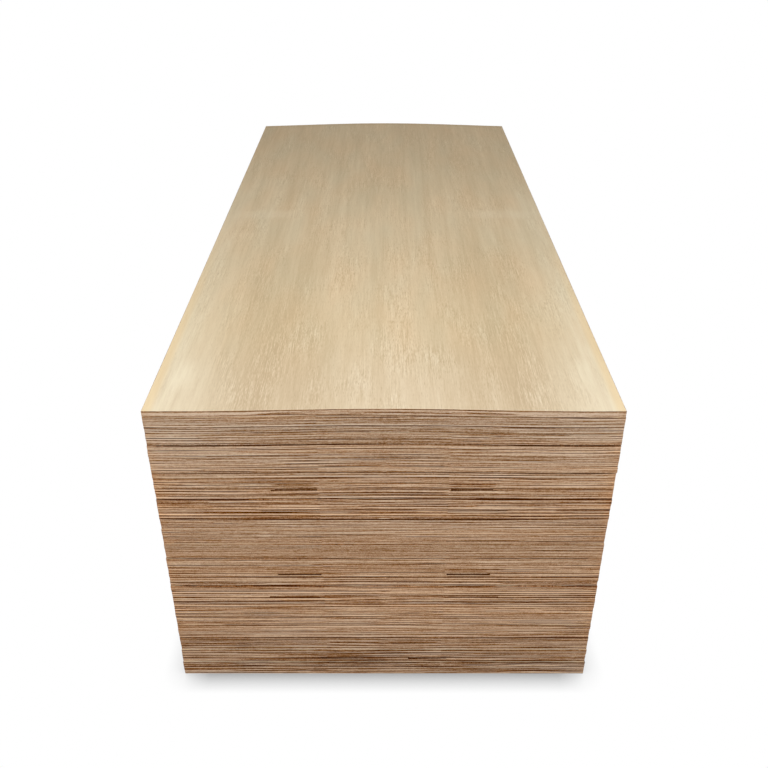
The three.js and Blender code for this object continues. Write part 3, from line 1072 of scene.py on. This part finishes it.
face_tone = summed(tree, face_tone, [(fine, fuzzy)])
face_tone = summed(tree, face_tone, [(region(steps), strength) for strength, steps in TONE_REGIONS])
print("face tone:", len(tree.nodes), "nodes")

# %% [markdown]
# ## Wear and hue of the face
# Sanding and light leave the near corners almost white, the flanks behind them pale, and two pairs of
# scuffs; the pair close to the near corners is painted highlight. All are broken up into streaks along the
# grain. The long edges keep a warm rim where the overhang was trimmed, and the near end has greyed a little.
# All this could be added to the tone, but wear changes the hue as well. So the pale places, the painted
# highlight among them, and the warm rim are colours blended over the wood, and the greying is a tint.

# %% Colour of the face veneer
FACE_TONES = ((-3.0, "#c5ac85"), (-1.0, "#d1b992"), (0.0, "#d7c09a"), (1.0, "#ddc7a2"), (3.0, "#e6d3b1"))
HUE_PATCH = (100 * MM, 320 * MM, 1.0)
HUE_STEP = (-0.2, 0.2)  # of that patch's waves
GREYISH = (0.974, 1.006, 1.028, 1.0)  # tints, as linear factors
PINKISH = (1.020, 0.990, 0.970, 1.0)
NEAR_END_GREY = (0.975, 1.0, 1.09, 1.0)
GREYED = (("along", -750, -1220),)
CORNER_PALE = linear("#f0e3c5")
PALE_REGIONS = (  # how pale each is, and its steps
    (1.0, (("off", 340, 540), ("along", -320, -1420))),  # the near corners
    (0.12, (("off", 190, 60), ("along", -320, -1420))),  # the middle of the near end
    (0.5, (("off", 500, 590), ("along", 700, 0))),  # the flanks
    # a pair of scuffs halfway along the sheet, and close to the near corners a pale pair that is painted
    # highlight
    (0.42, (("off", 270, 414), ("off", 630, 486), ("along", -15, 33), ("along", 105, 57))),
    (0.45, (("off", 499, 532.6), ("off", 583, 549.4), ("along", -1140, -1068), ("along", -960, -1032))),
)
STREAKS = (16 * MM, 200 * MM, 2.0)
STREAK_MIDDLE, STREAK_DEPTH = 0.46, 0.8  # the share of the paleness that is left, and how far it wavers
RIM_WARM = linear("#eed09c")
RIM_SHARE = 0.5
WARM_RIM = (("off", 576, 598), ("along", 0, -1000))
SANDED_ROUGHNESS = 0.62
WOOD_IOR = 1.45
CHECK_BUMP = {"Strength": 0.2, "Distance": 0.05 * MM}

ends = {"Value": face_figure(*HUE_PATCH), "From Min": HUE_STEP[0], "From Max": HUE_STEP[1]}
hue = add(tree, "ShaderNodeMapRange", ends).outputs[0]
tint = GREYISH
for share, factors in ((hue, PINKISH), (region(GREYED), NEAR_END_GREY)):
    tint = add(tree, "ShaderNodeMix", {0: share, 6: tint, 7: factors}, data_type="RGBA").outputs[2]
# paleness of wear, with the painted highlight close to the near corners
pale = summed(tree, 0.0, [(region(steps), strength) for strength, steps in PALE_REGIONS])
streaks = summed(tree, STREAK_MIDDLE, [(face_figure(*STREAKS), STREAK_DEPTH)])
pale = add(tree, "ShaderNodeMath", {0: pale, 1: streaks}, operation="MULTIPLY").outputs[0]
warm = summed(tree, 0.0, [(region(WARM_RIM), RIM_SHARE)])
colour = wood_colour(tree, face_tone, FACE_TONES, tint)
for share, towards in ((pale, CORNER_PALE), (warm, RIM_WARM)):
    colour = add(tree, "ShaderNodeMix", {0: share, 6: colour, 7: towards}, data_type="RGBA").outputs[2]
bump = add(tree, "ShaderNodeBump", {"Height": check, **CHECK_BUMP})
finish = {"Base Color": colour, "Roughness": SANDED_ROUGHNESS, "IOR": WOOD_IOR, "Normal": bump.outputs[0]}
wood = add(tree, "ShaderNodeBsdfPrincipled", finish)
add(tree, "ShaderNodeOutputMaterial", {"Surface": wood.outputs[0]})
print("face material:", len(tree.nodes), "nodes")

# %% [markdown]
# ## Build the stack
# Each sheet becomes a mesh of its own that stands for its solid. Its vertices go in as one array, its edge
# faces stay flat shaded so that plies keep crisp borders, and its faces are smooth. One mesh linked 55
# times would be lighter, but then each sheet would have the same waves and marks, and in a real stack
# nothing repeats.

# %% Build every sheet
WELD = 0.004 * MM  # points closer than this are one
SHARP_ANGLE = math.radians(20)  # sharper bends stay crisp


def sheet_object(number):
    """A mesh object from the skin's arrays, with coinciding points welded."""
    skin = sheet_skin(number)
    name = sheet_names[number] + "_wood"
    mesh = bpy.data.meshes.new(name)
    mesh.from_pydata(skin["vertices"], [], skin["quads"].tolist())
    for layer in ("ply", "OFBake"):
        mesh.uv_layers.new(name=layer).uv.foreach_set("vector", skin[layer].astype(np.float32).ravel())
    for layer in ("tone", "warmth", "grain"):
        mesh.attributes.new(layer, "FLOAT", "POINT").data.foreach_set("value", skin[layer].astype(np.float32))
    mesh.materials.append(edge_material)
    mesh.materials.append(face_material)
    mesh.polygons.foreach_set("material_index", skin["is_face"].astype(np.int32))
    mesh.polygons.foreach_set("use_smooth", skin["is_face"])
    work = bmesh.new()
    work.from_mesh(mesh)
    bmesh.ops.remove_doubles(work, verts=work.verts, dist=WELD)
    work.to_mesh(mesh)
    work.free()
    mesh.set_sharp_from_angle(angle=SHARP_ANGLE)
    piece = bpy.data.objects.new(name, mesh)
    bpy.context.scene.collection.objects.link(piece)
    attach(piece, "root")
    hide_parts(sheet_names[number])
    return piece


pieces = [sheet_object(number) for number in range(SHEETS)]
triangles = sum(len(face.vertices) - 2 for piece in pieces for face in piece.data.polygons)
print(len(pieces), "sheets,", triangles, "triangles")
